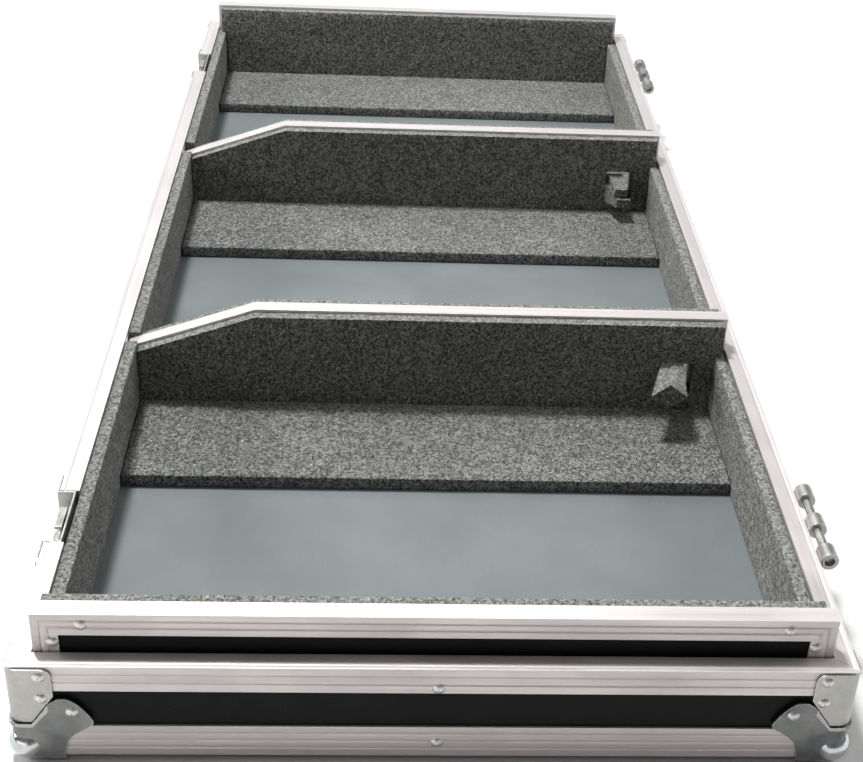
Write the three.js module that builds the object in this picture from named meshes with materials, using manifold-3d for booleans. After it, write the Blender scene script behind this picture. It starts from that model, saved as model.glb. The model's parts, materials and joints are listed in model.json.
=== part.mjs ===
// Base tray of a long road case with three foam-lined bays.
// Millimetres. +X runs along the case, -Y is the front with the latches, +Z is up.
// The origin is the centre of the floor panel's underside.
import * as THREE from "three";
import { mergeVertices } from "three/addons/utils/BufferGeometryUtils.js";
import Module from "manifold-3d";

const wasm = await Module();
wasm.setup();

// Case over its aluminium edging
const case_length = 1145;
const case_depth = 490;
const rim_height = 65;
const raised_height = 92;
const middle_bay = 366;

// Sheets and liners
const ply_t = 9;
const floor_t = 6;
const foam_t = 9;
const pad_t = 10;
const pad_reach = 105;
const other_pad_reach = 88;
const left_foam_short = 9;
const foam_drop = 2;
const foam_end_show = 3.2;
const seat_gap = 0.3;
const overrun = 5;
const merge_distance = 0.0001;

// Aluminium edging
const profile_t = 1.5;
const rim_outer_leg = 18;
const rim_inner_leg = 10;
const angle_leg = 22.5;
const cap_leg = 15;
const groove_depth = 0.45;
const groove_half = 0.9;
const raised_end_clear = 0.7;
const raised_side_clear = 1.1;

// Sloping front end of each divider, measured on the cap's upper face
const slant_run = 98;
const slant_drop = 34.5;

// Cable hole near the rear end of each divider
const hole_in = 50.5;
const hole_z = 42;
const hole_w = 27;
const hole_h = 30;

// Corner braces
const corner_round = 8;
const brace_leg = 25.6;
const brace_t = 1.2;
const brace_low = 24.5;
const brace_top_drop = 1.5;
const brace_round = 5;
const brace_cut = 12;
const brace_cut_rise = 19.5;

// Ball corners
const ball_r = 11.4;
const ball_in = 6.8;
const ball_up = 4.4;
const ball_plate_t = 1.2;
const collar_t = 1.2;
const collar_w = 2.2;
const lobe_reach = 46.7;
const lobe_rise = 41.9;
const foot_reach = 30;
const lobe_shares = [
  [0.62, 0], [0.64, 0.115], [0.672, 0.239], [0.734, 0.327], [0.824, 0.41], [0.929, 0.487], [0.99, 0.54],
  [1, 0.6], [0.968, 0.683], [0.895, 0.809], [0.797, 0.933], [0.692, 1], [0.578, 0.995],
];
const lobe_steps = 26;
const lobe_meet_share = 0.47;
const lobe_rivet_shares = [0.754, 0.768];
const foot_shares = [
  [0.9, 0], [0.82, 0.25], [1, 0.5], [1, 0.85], [0.85, 1], [0.5, 1], [0.25, 0.82], [0, 0.9],
];

// Latches at the front and hinges at the rear stand equally far in from the case's ends
const hardware_in = 145.5;

// Hinge halves that stay on the tray
const hinge_length = 80;
const hinge_leaf_drop = 34;
const hinge_leaf_t = 1.5;
const hinge_round = 5;
const knuckle_length = 13;
const knuckle_r = 6;
const knuckle_bore_r = 3.4;
const hinge_pin_r = 3;
const hinge_pin_recess = 3;
const hinge_top_clear = 1;

// Recessed latch halves
const dish_width = 100;
const dish_height = 42.4;
const dish_t = 1.2;
const dish_round = 6;
const pocket_width = 53;
const pocket_sill = 3;
const pocket_round = 7;

// Turning hub in each latch
const hub_drop = 19;
const hub_shaft_r = 4;
const hub_back_collar_r = 6;
const hub_back_collar_t = 1;
const hub_collar_r = 8.5;
const hub_collar_t = 2;
const hub_block_half = 4.5;
const hub_block_rise = 3.2;

// Butterfly wing that folds flat over the hub
const wing_t = 1.8;
const wing_half = 17.5;
const wing_gap = 0.5;
const wing_bridge = 7;
const wing_knuckle_r = 2;
const wing_knuckle_length = 4;
const wing_bore_r = 1.4;
const wing_pin_r = 1.1;
const wing_shares = [[0.57, 0.09], [0.83, 0.18], [0.99, -0.09], [0.91, -0.49], [0.66, -0.77], [0.34, -0.7]];

// Hook plate that the hub lifts
const hook_half = 11;
const hook_t = 1.8;
const hook_travel = 8;
const hook_tail = 3;
const hook_slot_gap = 0.4;
const hook_top_drop = 1;
const hook_lip = 3;
const hook_lip_t = 2;

// Awning of foam bent out over the right bay's cable hole
const flap_t = 7;
const flap_root = 4.5;
const flap_lap = 1;
const flap_reach = 42;
const flap_root_half = 8.6;
const flap_root_aside = 4.4;
const flap_end_half = 14;
const flap_end_aside = 12.2;
const flap_end_drop = 6;
const flap_end_keel = 10;
const flap_end_edge_t = 1.5;
const flap_peak = 10.5;

// Tongue and lip of foam pushed out of the middle bay's cable hole
const tongue_reach = 24.5;
const tongue_front = [-10.5, -7.5];
const tongue_rear = [2.5, 5];
const tongue_drop = 3.5;
const tongue_end_drop = 8;
const lip_reach = 28.5;
const lip_t = 4.5;
const lip_floor_t = 3;
const lip_root = [-15, 9.5];
const lip_end = [-5, 8.5];
const lip_root_low = -2;
const lip_end_low = 4.5;
const lip_end_rise = 13;
const lip_root_rise = 19;

// Domed rivets
const rivet_r = 3.6;
const rivet_head = 1.5;
const rivet_place_shares = [-0.55, 0, 0.55];
const rim_rivet_drop = 14.5;
const angle_rivet_up = 8.5;
const brace_rivet_in = 18.6;
const brace_rivet_drops = [21, 5.3];
const cap_rivet_in = 28;
const cap_end_rivet_in = 11.5;
const cap_end_rivet_drop = 20;
const hardware_rivet_in = 9;

// Numbers of facets
const ball_facets = 24;
const tube_facets = 24;
const rivet_facets = 12;
const rivet_rings = 3;
const bend_facets = 4;

// Worked out from the sizes above
const half_length = case_length / 2;
const half_depth = case_depth / 2;
const skin = profile_t + seat_gap;
const channel_w = ply_t + 2 * skin;
const channel_half = channel_w / 2;
const wall_low = floor_t + seat_gap;
const wall_top = rim_height - skin;
const ply_out_x = half_length - skin;
const ply_out_y = half_depth - skin;
const ply_in_x = ply_out_x - ply_t;
const ply_in_y = ply_out_y - ply_t;
const raised_x = half_length - channel_w - raised_end_clear - channel_half;
const raised_half = half_depth - channel_w - raised_side_clear;
const divider_x = (middle_bay + ply_t) / 2;
const hardware_x = half_length - hardware_in;
const hole_y = half_depth - hole_in;
const dish_low = rim_height - dish_height;
const hub_z = rim_height - hub_drop;
const foam_near = channel_half + seat_gap;
const foam_far = foam_near + foam_t;
const side_foam_out = half_depth - channel_w - seat_gap;
const side_foam_in = side_foam_out - foam_t;
const side_foam_top = rim_height - foam_drop;
const cross_foam_half = side_foam_in - seat_gap;
const cross_foam_top = raised_height - foam_drop;
const cross_foam_wide = raised_half - foam_end_show;
const shoulder_z = side_foam_top + seat_gap;
const pad_top = wall_low + pad_t;
const pocket_half = pocket_width / 2;
const pocket_floor = dish_low + pocket_sill;
const notch_half = pocket_half + dish_t + seat_gap;
const slant = Math.atan2(slant_drop, slant_run);

// Finishes
const aluminium = { color: 0xe6e4e6, roughness: 0.32, metalness: 1 };
const zinc = { color: 0xa9afae, roughness: 0.36, metalness: 1 };
const laminate = { color: 0x15171a, roughness: 0.45, metalness: 0 };
const floor_sheet = { color: 0x4a5157, roughness: 0.5, metalness: 0 };
const foam = { color: 0x34353a, roughness: 0.95, metalness: 0 };

const group = new THREE.Group();

function add(name, geometry, look) {
  const mesh = new THREE.Mesh(geometry, new THREE.MeshStandardMaterial(look));
  mesh.name = name;
  group.add(mesh);
}

// Flat shapes and the solids run out of them
function outline(points) {
  return new THREE.Shape(points.map(([a, b]) => new THREE.Vector2(a, b)));
}

function arc(a, b, r, from, to) {
  const points = [];
  for (let k = 0; k <= bend_facets; k += 1) {
    const turn = from + ((to - from) * k) / bend_facets;
    points.push([a + r * Math.cos(turn), b + r * Math.sin(turn)]);
  }
  return points;
}

function rounded_rect(a0, a1, b0, b1, r) {
  const right = Math.PI / 2;
  return [
    ...arc(a1 - r, b0 + r, r, -right, 0),
    ...arc(a1 - r, b1 - r, r, 0, right),
    ...arc(a0 + r, b1 - r, r, right, 2 * right),
    ...arc(a0 + r, b0 + r, r, 2 * right, 3 * right),
  ];
}

function swapped(points) {
  return points.map(([a, b]) => [b, a]);
}

function box(x0, x1, y0, y1, z0, z1) {
  const geometry = new THREE.BoxGeometry(x1 - x0, y1 - y0, z1 - z0);
  return geometry.translate((x0 + x1) / 2, (y0 + y1) / 2, (z0 + z1) / 2);
}

// A shape drawn in (y, z), run from x0 to x1
function along_x(shape, x0, x1) {
  const geometry = new THREE.ExtrudeGeometry(shape, { depth: x1 - x0, bevelEnabled: false });
  return geometry.applyMatrix4(new THREE.Matrix4().set(0, 0, 1, x0, 1, 0, 0, 0, 0, 1, 0, 0, 0, 0, 0, 1));
}

// Points given in (x, z), run from y0 to y1
function along_y(points, y0, y1) {
  const shape = outline(swapped(points));
  const geometry = new THREE.ExtrudeGeometry(shape, { depth: y1 - y0, bevelEnabled: false });
  return geometry.applyMatrix4(new THREE.Matrix4().set(0, 1, 0, 0, 0, 0, 1, y0, 1, 0, 0, 0, 0, 0, 0, 1));
}

// Points given in (x, y), run from z0 to z1
function along_z(points, z0, z1) {
  const geometry = new THREE.ExtrudeGeometry(outline(points), { depth: z1 - z0, bevelEnabled: false });
  return geometry.translate(0, 0, z0);
}

function rod_x(r, x0, x1, y, z) {
  const geometry = new THREE.CylinderGeometry(r, r, x1 - x0, tube_facets).rotateZ(Math.PI / 2);
  return geometry.translate((x0 + x1) / 2, y, z);
}

function rod_y(r, y0, y1, x, z) {
  const geometry = new THREE.CylinderGeometry(r, r, y1 - y0, tube_facets);
  return geometry.translate(x, (y0 + y1) / 2, z);
}

// Closed meshes with shared corners, for cutting, joining and mirroring
function welded(geometry) {
  const bare = geometry.clone();
  bare.deleteAttribute("normal");
  bare.deleteAttribute("uv");
  const shell = mergeVertices(bare, merge_distance);
  const order = Array.from(shell.index.array);
  const corners = order.map((_, k) => order.slice(k - (k % 3), k - (k % 3) + 3));
  shell.setIndex(order.filter((_, k) => new Set(corners[k]).size === 3));
  return shell;
}

function solid(geometry) {
  const shell = welded(geometry);
  const vertProperties = new Float32Array(shell.attributes.position.array);
  const triVerts = new Uint32Array(shell.index.array);
  return new wasm.Manifold(new wasm.Mesh({ numProp: 3, vertProperties, triVerts }));
}

function geometry_of(manifold) {
  const mesh = manifold.getMesh();
  const geometry = new THREE.BufferGeometry();
  geometry.setAttribute("position", new THREE.Float32BufferAttribute(mesh.vertProperties, 3));
  geometry.setIndex(Array.from(mesh.triVerts));
  return geometry;
}

function joined(...pieces) {
  return pieces.map(solid).reduce((whole, piece) => whole.add(piece));
}

function without(whole, ...tools) {
  return tools.map(solid).reduce((left, tool) => left.subtract(tool), whole);
}

// Upright prisms that take the sharp corner off what lies under the round corner fittings
function corner_cuts() {
  const cut = corner_round - brace_t - seat_gap;
  const prism = along_z(
    [[-overrun, -overrun], [cut + overrun, -overrun], [-overrun, cut + overrun]],
    -skin - overrun, rim_height - profile_t);
  return [[-1, -1], [-1, 1], [1, -1], [1, 1]].map(([sign_x, sign_y]) => {
    return mirrored(prism, -sign_x, -sign_y).translate(sign_x * half_length, sign_y * half_depth, 0);
  });
}

function corners_off(...pieces) {
  return geometry_of(without(joined(...pieces), ...corner_cuts()));
}

// Domed rivet head with its axis on Y, sunk a little under the face it stands on
function rivet_dome() {
  const round = (rivet_r ** 2 + rivet_head ** 2) / (2 * rivet_head);
  const half_angle = Math.asin(rivet_r / round);
  const profile = [new THREE.Vector2(0, -seat_gap), new THREE.Vector2(rivet_r, -seat_gap)];
  for (let k = 0; k < rivet_rings; k += 1) {
    const turn = half_angle * (1 - k / rivet_rings);
    profile.push(new THREE.Vector2(round * Math.sin(turn), rivet_head - round * (1 - Math.cos(turn))));
  }
  profile.push(new THREE.Vector2(0, rivet_head));
  return new THREE.LatheGeometry(profile, rivet_facets);
}

// Rivet heads on a face at x or at y, crown towards the sign
function rivet_on_x(x, y, z, sign) {
  return rivet_dome().rotateZ((-sign * Math.PI) / 2).translate(x, y, z);
}

function rivet_on_y(x, y, z, sign) {
  return rivet_dome().rotateX(((1 - sign) * Math.PI) / 2).translate(x, y, z);
}

function riveted(geometry, heads) {
  return geometry_of(joined(geometry, ...heads));
}

// Sheet of thickness t bent round an upright edge, standing off the case by a small gap
function bent_sheet(t, reach, low, high) {
  const out = seat_gap + t;
  const centre = corner_round - out;
  const points = [
    [reach, -out], [reach, -seat_gap],
    ...arc(centre, centre, corner_round - t, 1.5 * Math.PI, Math.PI),
    [-seat_gap, reach], [-out, reach],
    ...arc(centre, centre, corner_round, Math.PI, 1.5 * Math.PI),
  ];
  return along_z(points, low, high);
}

// What an outline in (a, z) keeps of a bent sheet, where a is measured from the edge on both faces
function trimmed(sheet, points, t) {
  const out = seat_gap + t + overrun;
  const end_side = along_x(outline(points), -out, brace_cut);
  const long_side = along_y(points, -out, brace_cut);
  return joined(end_side, long_side).intersect(solid(sheet));
}

// A copy mirrored in X where sign_x is -1 and in Y where sign_y is -1, with its faces outward
function mirrored(geometry, sign_x, sign_y) {
  const copy = welded(geometry).scale(sign_x, sign_y, 1);
  if (sign_x * sign_y < 0) {
    const order = Array.from(copy.index.array);
    copy.setIndex(order.map((_, k) => order[k - (k % 3) + 2 - (k % 3)]));
  }
  return copy;
}

// A closed body drawn through rings of points. Each ring is the section, which runs
// anticlockwise as seen from the last ring.
function lofted(rings, section) {
  const count = section.length;
  const order = [];
  for (let k = 0; k + 1 < rings.length; k += 1) {
    for (let i = 0; i < count; i += 1) {
      const a = k * count + i;
      const b = k * count + ((i + 1) % count);
      order.push(a, b, b + count, a, b + count, a + count);
    }
  }
  const flat = section.map(([a, b]) => new THREE.Vector2(a, b));
  const last = (rings.length - 1) * count;
  for (const [a, b, c] of THREE.ShapeUtils.triangulateShape(flat, [])) {
    order.push(c, b, a);
    order.push(last + a, last + b, last + c);
  }
  const geometry = new THREE.BufferGeometry();
  geometry.setAttribute("position", new THREE.Float32BufferAttribute(rings.flat(2), 3));
  geometry.setIndex(order);
  return geometry;
}

// Grooves evenly spaced on a straight face of a section. place(at, deep) gives a section
// point at a distance along the face and a depth into it.
function grooves(count, from, to, place) {
  const points = [];
  const step = Math.sign(to - from) * groove_half;
  for (let k = 1; k <= count; k += 1) {
    const at = from + ((to - from) * k) / (count + 1);
    points.push(place(at - step, 0), place(at, groove_depth), place(at + step, 0));
  }
  return points;
}

// Edging bar with its section in (inward, up) from the case's outer face, mitred where its
// mitre is 1. It runs from low to high along front, rear, left or right.
function edging(section, side, low, high, mitre_low, mitre_high) {
  const clear = seat_gap / 2;
  const places = {
    front: (run, inward, up) => [run, inward - half_depth, up],
    rear: (run, inward, up) => [-run, half_depth - inward, up],
    left: (run, inward, up) => [inward - half_length, -run, up],
    right: (run, inward, up) => [half_length - inward, run, up],
  };
  const ring = (run, mitre) => section.map(([inward, up]) => places[side](run + mitre * inward, inward, up));
  return lofted([ring(low + clear, mitre_low), ring(high - clear, -mitre_high)], section);
}

// Height of a divider's sloping front, offset square into the panel
function slope_z(y, offset) {
  return raised_height - slant_drop + (y + raised_half) * Math.tan(slant) - offset / Math.cos(slant);
}

// Place along the depth where the offset slope meets the level top, lowered by the same offset
function kink_y(offset) {
  const rise = slant_drop - offset + offset / Math.cos(slant);
  return rise / Math.tan(slant) - raised_half;
}

// Channel over a panel's edge, in (across, depth below its upper face)
function cap_section() {
  const w = channel_half;
  return [
    [-w, 0],
    [w, 0],
    ...grooves(2, 0, cap_leg, (at, deep) => [w - deep, at]),
    [w, cap_leg],
    [w - profile_t, cap_leg],
    [w - profile_t, profile_t],
    [profile_t - w, profile_t],
    [profile_t - w, cap_leg],
    [-w, cap_leg],
    ...grooves(2, cap_leg, 0, (at, deep) => [deep - w, at]),
  ];
}

// The channel folded along a path in (y, z), with mitred corners, centred on x
function folded_cap(path, x) {
  const section = cap_section();
  const inward = [];
  for (let k = 0; k + 1 < path.length; k += 1) {
    const run_y = path[k + 1][0] - path[k][0];
    const run_z = path[k + 1][1] - path[k][1];
    const size = Math.hypot(run_y, run_z);
    inward.push([run_z / size, -run_y / size]);
  }
  const rings = path.map(([y, z], k) => {
    const a = inward[Math.max(k - 1, 0)];
    const b = inward[Math.min(k, inward.length - 1)];
    const spread = 1 + a[0] * b[0] + a[1] * b[1];
    const way_y = (a[0] + b[0]) / spread;
    const way_z = (a[1] + b[1]) / spread;
    return section.map(([across, depth]) => [x + across, y + depth * way_y, z + depth * way_z]);
  });
  return lofted(rings, section);
}

// Floor and outer walls
function build_shell() {
  const floor = box(-ply_out_x, ply_out_x, -ply_out_y, ply_out_y, 0, floor_t);
  const rear = box(-ply_out_x, ply_out_x, ply_in_y, ply_out_y, wall_low, wall_top);
  add("floor_panel", corners_off(floor), floor_sheet);
  add("rear_wall", corners_off(rear), laminate);
  const end_half = ply_in_y - seat_gap;
  add("left_end_wall", box(-ply_out_x, -ply_in_x, -end_half, end_half, wall_low, wall_top), laminate);
  add("right_end_wall", box(ply_in_x, ply_out_x, -end_half, end_half, wall_low, wall_top), laminate);
  const notch_low = pocket_floor - dish_t - seat_gap;
  const notch = (x) => [
    [x + notch_half, wall_top], [x + notch_half, notch_low],
    [x - notch_half, notch_low], [x - notch_half, wall_top],
  ];
  const face = [
    [-ply_out_x, wall_low], [ply_out_x, wall_low], [ply_out_x, wall_top],
    ...notch(hardware_x), ...notch(-hardware_x), [-ply_out_x, wall_top],
  ];
  add("front_wall", corners_off(along_y(face, -ply_out_y, -ply_in_y)), laminate);
}

// Aluminium edging round the bottom and the rim
function build_edging() {
  const angle_top = angle_leg - skin;
  const angle = [
    [0, -skin], [angle_leg, -skin], [angle_leg, -seat_gap], [profile_t, -seat_gap],
    [profile_t, angle_top], [0, angle_top],
    ...grooves(3, angle_top, -skin, (at, deep) => [deep, at]),
  ];
  const web_low = rim_height - profile_t;
  const leg_low = rim_height - rim_outer_leg;
  const lip_low = rim_height - rim_inner_leg;
  const rim = [
    [0, leg_low], [profile_t, leg_low], [profile_t, web_low], [channel_w - profile_t, web_low],
    [channel_w - profile_t, lip_low], [channel_w, lip_low], [channel_w, rim_height],
    ...grooves(1, channel_half, 0, (at, deep) => [at, rim_height - deep]),
    [0, rim_height],
    ...grooves(2, rim_height, leg_low, (at, deep) => [deep, at]),
  ];
  const rim_z = rim_height - rim_rivet_drop;
  const along = rivet_place_shares.map((share) => share * half_length);
  const long_side = (sign, z) => along.map((x) => rivet_on_y(x, sign * half_depth, z, sign));
  const short_side = (sign, z) => [rivet_on_x(sign * half_length, 0, z, sign)];
  const sides = [
    ["front", half_length, long_side, -1], ["rear", half_length, long_side, 1],
    ["left", half_depth, short_side, -1], ["right", half_depth, short_side, 1],
  ];
  for (const [side, half, heads, sign] of sides) {
    const bar = edging(angle, side, -half, half, 1, 1);
    add(`bottom_angle_${side}`, corners_off(bar, ...heads(sign, angle_rivet_up)), aluminium);
    if (side !== "front") {
      const top = edging(rim, side, -half, half, 1, 1);
      add(`rim_${side}`, corners_off(top, ...heads(sign, rim_z)), aluminium);
    }
  }
  const gap_in = hardware_x - notch_half;
  const gap_out = hardware_x + notch_half;
  const middle = edging(rim, "front", -gap_in, gap_in, 0, 0);
  add("rim_front_left", corners_off(edging(rim, "front", -half_length, -gap_out, 1, 0)), aluminium);
  add("rim_front_middle", riveted(middle, long_side(-1, rim_z)), aluminium);
  add("rim_front_right", corners_off(edging(rim, "front", gap_out, half_length, 0, 1)), aluminium);
}

// A piece for each upright edge of the case, drawn once with the edge at x = 0 and y = 0
// and the case towards +X and +Y
function at_corners(name, local, look) {
  for (const [end, sign_x] of [["left", -1], ["right", 1]]) {
    for (const [side, sign_y] of [["front", -1], ["rear", 1]]) {
      const piece = mirrored(local, -sign_x, -sign_y);
      piece.translate(sign_x * half_length, sign_y * half_depth, 0);
      add(`${name}_${side}_${end}`, piece, look);
    }
  }
}

// Steel angle with rounded corners on each upright edge
function build_braces() {
  const out = seat_gap + brace_t;
  const top = rim_height - brace_top_drop;
  const leaf = [
    [-overrun, brace_low], [brace_cut, brace_low], [brace_leg, brace_low + brace_cut_rise],
    ...arc(brace_leg - brace_round, top - brace_round, brace_round, 0, Math.PI / 2),
    [-overrun, top],
  ];
  const sheet = bent_sheet(brace_t, brace_leg + overrun, brace_low - overrun, top + overrun);
  const heads = brace_rivet_drops.flatMap((drop) => [
    rivet_on_x(-out, brace_rivet_in, top - drop, -1), rivet_on_y(brace_rivet_in, -out, top - drop, -1),
  ]);
  const brace = trimmed(sheet, leaf, brace_t).add(joined(...heads));
  at_corners("corner_brace", geometry_of(brace), zinc);
}

// Ball with a riveted lobe on each upright face of the case's corner and a foot under it
function build_balls() {
  const out = seat_gap + ball_plate_t;
  const low = -skin - out;
  const brace_clear = 2 * seat_gap;
  const meet = lobe_meet_share * lobe_reach;
  const meet_rise = ((meet - brace_cut) * brace_cut_rise) / (brace_leg - brace_cut);
  const edge_z = brace_low - brace_clear;
  const curve = new THREE.SplineCurve(
    lobe_shares.map(([a, b]) => new THREE.Vector2(a * lobe_reach, b * lobe_rise)));
  const lobe = [
    [-overrun, low], [lobe_reach * lobe_shares[0][0], low],
    ...curve.getPoints(lobe_steps).map((point) => [point.x, point.y]),
    [meet, edge_z + meet_rise], [brace_cut, edge_z], [-overrun, edge_z],
  ];
  const bend = corner_round - out;
  const foot = [
    ...arc(bend, bend, corner_round, Math.PI, 1.5 * Math.PI), [foot_reach * foot_shares[0][0], -out],
    ...foot_shares.map(([a, b]) => [a * foot_reach, b * foot_reach]),
    [-out, foot_reach * foot_shares.at(-1)[1]],
  ];
  const ball = new THREE.SphereGeometry(ball_r, ball_facets, ball_facets / 2);
  ball.translate(ball_in, ball_in, ball_up);
  const rivet_in = lobe_rivet_shares[0] * lobe_reach;
  const rivet_z = lobe_rivet_shares[1] * lobe_rise;
  const sheet = bent_sheet(ball_plate_t, lobe_reach + overrun, low - overrun, lobe_rise + overrun);
  const collar = [
    [-overrun, edge_z - collar_w], [brace_cut, edge_z - collar_w],
    [meet, edge_z + meet_rise - 2 * collar_w], [meet, edge_z + meet_rise],
    [brace_cut, edge_z], [-overrun, edge_z],
  ];
  const collar_sheet_t = ball_plate_t + collar_t;
  const collar_sheet = bent_sheet(
    collar_sheet_t, meet + overrun, edge_z - 2 * collar_w, edge_z + meet_rise + overrun);
  const rolled_edge = trimmed(collar_sheet, collar, collar_sheet_t);
  const plates = trimmed(sheet, lobe, ball_plate_t).add(rolled_edge).add(joined(
    ball,
    along_z(foot, low, low + ball_plate_t),
    rivet_on_x(-out, rivet_in, rivet_z, -1),
    rivet_on_y(rivet_in, -out, rivet_z, -1)));
  const reach = lobe_reach + overrun;
  const inside = along_z(
    [[bend, -seat_gap], [reach, -seat_gap], [reach, reach], [-seat_gap, reach], [-seat_gap, bend]],
    -skin - seat_gap, reach);
  at_corners("ball_corner", geometry_of(without(plates, inside)), zinc);
}

// Raised end walls with their channel caps
function build_raised_walls() {
  const panel_half = raised_half - skin;
  const path = [
    [-raised_half, wall_low], [-raised_half, raised_height],
    [raised_half, raised_height], [raised_half, wall_low],
  ];
  const rivet_y = raised_half - cap_rivet_in;
  const end_y = raised_half - cap_end_rivet_in;
  const leg_z = raised_height - cap_leg / 2;
  const end_z = raised_height - cap_end_rivet_drop;
  const places = [[-end_y, end_z], [-rivet_y, leg_z], [rivet_y, leg_z], [end_y, end_z]];
  for (const [name, sign] of [["left", -1], ["right", 1]]) {
    const x = sign * raised_x;
    const panel = box(x - ply_t / 2, x + ply_t / 2, -panel_half, panel_half, wall_low, raised_height - skin);
    const heads = places.map(([y, z]) => rivet_on_x(x + sign * channel_half, y, z, sign));
    add(`raised_wall_${name}`, panel, laminate);
    add(`raised_cap_${name}`, riveted(folded_cap(path, x), heads), aluminium);
  }
}

function with_cable_hole(points) {
  const shape = outline(points);
  const half_w = hole_w / 2;
  const half_h = hole_h / 2;
  const hole = new THREE.Path();
  hole.moveTo(hole_y - half_w, hole_z - half_h);
  hole.lineTo(hole_y - half_w, hole_z + half_h);
  hole.lineTo(hole_y + half_w, hole_z + half_h);
  hole.lineTo(hole_y + half_w, hole_z - half_h);
  hole.closePath();
  shape.holes.push(hole);
  return shape;
}

// Dividers with sloping front ends, their caps and their cable holes
function build_dividers() {
  const panel = [
    [-raised_half, wall_low], [raised_half - skin, wall_low], [raised_half - skin, raised_height - skin],
    [kink_y(skin), raised_height - skin], [-raised_half, slope_z(-raised_half, skin)],
  ];
  const path = [
    [-raised_half, raised_height - slant_drop], [slant_run - raised_half, raised_height],
    [raised_half, raised_height], [raised_half, wall_low],
  ];
  for (const [name, sign] of [["left", -1], ["right", 1]]) {
    const x = sign * divider_x;
    add(`divider_${name}`, along_x(with_cable_hole(panel), x - ply_t / 2, x + ply_t / 2), laminate);
    add(`divider_cap_${name}`, folded_cap(path, x), aluminium);
  }
}

// Foam cut on three sides from the right bay's hole and bent out over it like an awning
function awning_flap() {
  const face = divider_x + foam_far;
  const top = hole_z + hole_h / 2 + flap_lap;
  const section = (aside, half, edge, peak, edge_t, keel) => {
    const middle = hole_y - aside;
    return [
      [middle - half, edge - edge_t], [middle, edge - keel], [middle + half, edge - edge_t],
      [middle + half, edge], [middle, peak], [middle - half, edge],
    ];
  };
  const root = section(flap_root_aside, flap_root_half, top, top, flap_t, flap_t);
  const end_edge = top - flap_end_drop;
  const end = section(
    flap_end_aside, flap_end_half, end_edge, end_edge + flap_peak, flap_end_edge_t, flap_end_keel);
  const ring = (x, points) => points.map(([y, z]) => [x, y, z]);
  return lofted([ring(face - flap_root, root), ring(face, root), ring(face + flap_reach, end)], root);
}

// Foam pushed out of the middle bay's hole: a tongue from its front edge, and a lip below
function pushed_flaps() {
  const face = foam_far - divider_x;
  const start = face - flap_root;
  const hole_front = hole_y - hole_w / 2;
  const hole_low = hole_z - hole_h / 2;
  const section = (front, rear, top) => [
    [front, top - flap_t], [rear, top - flap_t], [rear, top], [front, top],
  ];
  const tongue_top = hole_z + hole_h / 2 - tongue_drop;
  const [near_front, far_front] = tongue_front.map((aside) => hole_y + aside);
  const [near_rear, far_rear] = tongue_rear.map((aside) => hole_y + aside);
  const ring = (x, points) => points.map(([y, z]) => [x, y, z]);
  const root = section(hole_front - flap_lap, near_rear, tongue_top);
  const tongue = lofted([
    ring(start, root),
    ring(face, section(near_front, near_rear, tongue_top)),
    ring(face + tongue_reach, section(far_front, far_rear, tongue_top - tongue_end_drop + tongue_drop)),
  ], root);
  const lip_face = face + lip_reach;
  const frame = (y0, y1, z0, z1) => [[y0, z0], [y1, z0], [y1, z1], [y0, z1]];
  const taper = (first, last, x0, x1) => lofted([ring(x0, frame(...first)), ring(x1, frame(...last))], root);
  const [root_front, root_rear] = lip_root.map((aside) => hole_y + aside);
  const [end_front, end_rear] = lip_end.map((aside) => hole_y + aside);
  const root_low = hole_low + lip_root_low;
  const end_low = hole_low + lip_end_low;
  const root_top = hole_low + lip_root_rise;
  const end_top = hole_low + lip_end_rise;
  return [
    tongue,
    taper([root_front, root_rear, root_low, root_low + lip_floor_t],
      [end_front, end_rear, end_low, end_low + lip_floor_t], start, lip_face),
    taper([root_front, root_front + lip_t, root_low, root_top],
      [end_front, end_front + lip_t, end_low, end_top], start, lip_face),
    box(lip_face - lip_t, lip_face, end_front, end_rear, end_low, end_top),
  ];
}

// Foam on the faces that cross the case, with the dividers' cable holes cut through it
function build_cross_foam() {
  const h = cross_foam_half;
  const w = cross_foam_wide;
  const rear_step = [[h, wall_low], [h, shoulder_z], [w, shoulder_z], [w, cross_foam_top]];
  const end_face = [...rear_step, [-w, cross_foam_top], [-w, shoulder_z], [-h, shoulder_z], [-h, wall_low]];
  const divider_face = [
    ...rear_step, [kink_y(foam_drop), cross_foam_top], [-h, slope_z(-h, foam_drop)], [-h, wall_low],
  ];
  const sheet = (shape, x, sign) => {
    const ends = [x + sign * foam_near, x + sign * foam_far];
    return along_x(shape, Math.min(...ends), Math.max(...ends));
  };
  const holed = with_cable_hole(divider_face);
  const middle_left = joined(sheet(holed, -divider_x, 1), ...pushed_flaps());
  const right_bay = joined(sheet(holed, divider_x, 1), awning_flap());
  add("end_foam_left", sheet(outline(end_face), -raised_x, 1), foam);
  add("end_foam_right", sheet(outline(end_face), raised_x, -1), foam);
  add("divider_foam_left_bay", sheet(holed, -divider_x, -1), foam);
  add("divider_foam_middle_left", geometry_of(middle_left), foam);
  add("divider_foam_middle_right", sheet(holed, divider_x, -1), foam);
  add("divider_foam_right_bay", geometry_of(right_bay), foam);
}

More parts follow.
